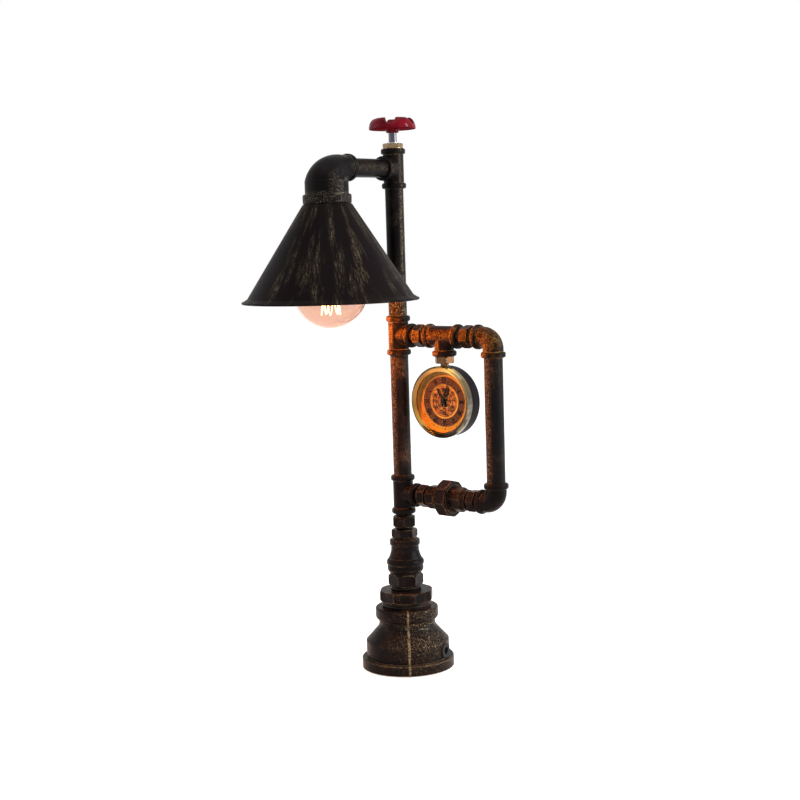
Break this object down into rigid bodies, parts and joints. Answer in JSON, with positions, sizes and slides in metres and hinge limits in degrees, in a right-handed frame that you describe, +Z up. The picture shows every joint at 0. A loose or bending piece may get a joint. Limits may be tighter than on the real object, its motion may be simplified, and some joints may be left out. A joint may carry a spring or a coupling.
{
  "type": "table lamp",
  "caption": "Industrial pipe table lamp: iron pipe column on a bell base, handwheel dimmer, cone shade on an arm, gauge clock hung in a side loop of pipe",
  "frame": {"origin": "centre of the felt pad's underside, on the pole's axis", "axes": "+Z up the pole, -Y along the arm towards the shade and the clock's front, +X from the pole towards the loop pipe"},
  "size_m": [0.1736, 0.1932, 0.4572],
  "materials": {
    "iron": "blackened with edges rubbed to bronze",
    "steel": "plain zinc plated",
    "dark_chrome": "polished, darkened",
    "brass": "machined, a little tarnished",
    "red_paint": "gloss enamel over cast metal",
    "shade_paint": "satin dark bronze with gold streaks",
    "case_paint": "satin black",
    "dial_face": "printed disc, matt",
    "hand_black": "satin black",
    "bulb_glass": "clear, thin",
    "clear_glass": "clear, flat",
    "insulator": "moulded, fine texture",
    "grommet_rubber": "moulded",
    "felt": "pressed felt",
    "wire": "insulated stranded wire"
  },
  "bodies": {
    "stand": {"base_bell": "iron", "base_plate": "steel", "base_screws": "steel", "felt_pad": "felt", "base_ballast": "iron", "terminal_block": "insulator", "cord_grommet": "grommet_rubber", "base_bushing": "iron", "base_nipple": "iron", "reducing_socket": "iron", "hex_bushing": "iron", "pole_nipple": "iron", "lower_tee": "iron", "lower_pole": "iron", "middle_tee": "iron", "upper_pole": "iron", "top_tee": "iron", "switch_washer": "brass", "switch_nut": "brass", "switch_body": "steel", "arm_pipe": "iron", "reducing_elbow": "iron", "shade": "shade_paint", "shade_ring": "insulator", "lampholder_body": "insulator", "screw_shell": "brass", "centre_contact": "brass", "upper_nipple_a": "iron", "clock_tee": "iron", "upper_nipple_b": "iron", "upper_elbow": "iron", "loop_pipe": "iron", "lower_elbow": "iron", "lower_nipple_a": "iron", "union_head": "iron", "union_nut": "iron", "union_tail": "iron", "lower_nipple_b": "iron", "gauge_stem": "brass", "gauge_housing": "case_paint", "gauge_bezel": "dark_chrome", "gauge_lens": "clear_glass", "insert_case": "insulator", "dial": "dial_face", "clock_movement": "insulator", "clock_cell": "steel", "supply_wires": "wire", "lamp_wires": "wire"},
    "wheel": {"handwheel": "red_paint", "wheel_screw": "steel", "switch_shaft": "dark_chrome"},
    "minutes": {"minute_hand": "hand_black", "minute_arbor": "steel", "hand_cap": "hand_black"},
    "hours": {"hour_hand": "hand_black"},
    "bulb": {"bulb_glass": "bulb_glass", "bulb_cap": "brass", "bulb_stem": "bulb_glass", "bulb_filament": "steel"}
  },
  "joints": [
    {"name": "wheel_turn", "type": "hinge", "parent": "stand", "child": "wheel", "pos_m": [0, 0, 0.4451], "axis": [0, 0, 1], "range_deg": [0, 300]},
    {"name": "minute_turn", "type": "hinge", "parent": "stand", "child": "minutes", "pos_m": [0.0464, -0.003, 0.2268], "axis": [0, 1, 0], "continuous": true},
    {"name": "hour_turn", "type": "hinge", "parent": "stand", "child": "hours", "pos_m": [0.0464, -0.002, 0.2268], "axis": [0, 1, 0], "continuous": true},
    {"name": "bulb_draw", "type": "slide", "parent": "stand", "child": "bulb", "axis": [0, 0, -1], "range_m": [0, 0.025]}
  ],
  "couplings": [
    {"joint": "hour_turn", "follows": "minute_turn", "ratio": 0.083333}
  ]
}
